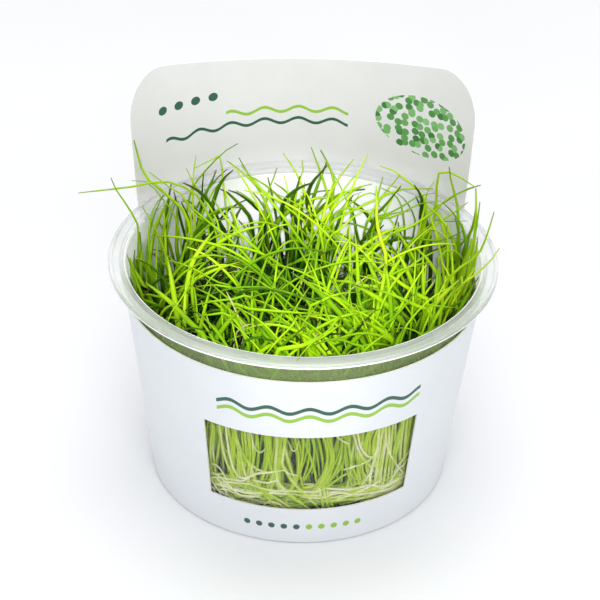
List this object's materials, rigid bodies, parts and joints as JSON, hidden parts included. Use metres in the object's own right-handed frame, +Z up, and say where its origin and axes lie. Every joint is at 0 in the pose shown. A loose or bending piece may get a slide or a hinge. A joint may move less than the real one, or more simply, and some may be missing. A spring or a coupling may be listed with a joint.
{
  "type": "dwarf hairgrass in a tissue-culture cup",
  "caption": "Dense tuft of fine bowed grass leaves on a root mat, in a clear round cup with a stepped rim and a card sleeve with a front window and a tall back tab.",
  "frame": {"origin": "centre of the cup's flat underside, on the surface that it stands on", "axes": "+Z up along the cup's axis; -Y is the front, where the sleeve has its window; +Y is the back, where the tab stands; +X is the viewer's right"},
  "size_m": [0.1035, 0.0993, 0.0907],
  "materials": {
    "clear_cup": "gloss",
    "card": "satin",
    "roots": "satin",
    "runner": "satin",
    "leaf": "satin"
  },
  "bodies": {
    "root": {"cup": "clear_cup", "root_mat": "roots", "runner_1": "runner", "runner_2": "runner", "runner_3": "runner", "sleeve": "card", "tuft_01": "leaf", "tuft_02": "leaf", "tuft_03": "leaf", "tuft_04": "leaf", "tuft_05": "leaf", "tuft_06": "leaf", "tuft_07": "leaf", "tuft_08": "leaf", "tuft_09": "leaf", "tuft_10": "leaf", "tuft_11": "leaf", "tuft_12": "leaf", "tuft_13": "leaf", "tuft_14": "leaf", "tuft_15": "leaf", "tuft_16": "leaf", "tuft_17": "leaf", "tuft_18": "leaf", "tuft_19": "leaf", "tuft_20": "leaf", "tuft_21": "leaf", "tuft_22": "leaf", "tuft_23": "leaf", "tuft_24": "leaf", "tuft_25": "leaf", "tuft_26": "leaf", "tuft_27": "leaf", "tuft_28": "leaf", "tuft_29": "leaf", "tuft_30": "leaf", "tuft_31": "leaf", "tuft_32": "leaf", "tuft_33": "leaf", "tuft_34": "leaf", "tuft_35": "leaf", "tuft_36": "leaf", "tuft_37": "leaf", "tuft_38": "leaf", "tuft_39": "leaf", "tuft_40": "leaf", "tuft_41": "leaf", "tuft_42": "leaf", "tuft_43": "leaf"}
  },
  "joints": []
}
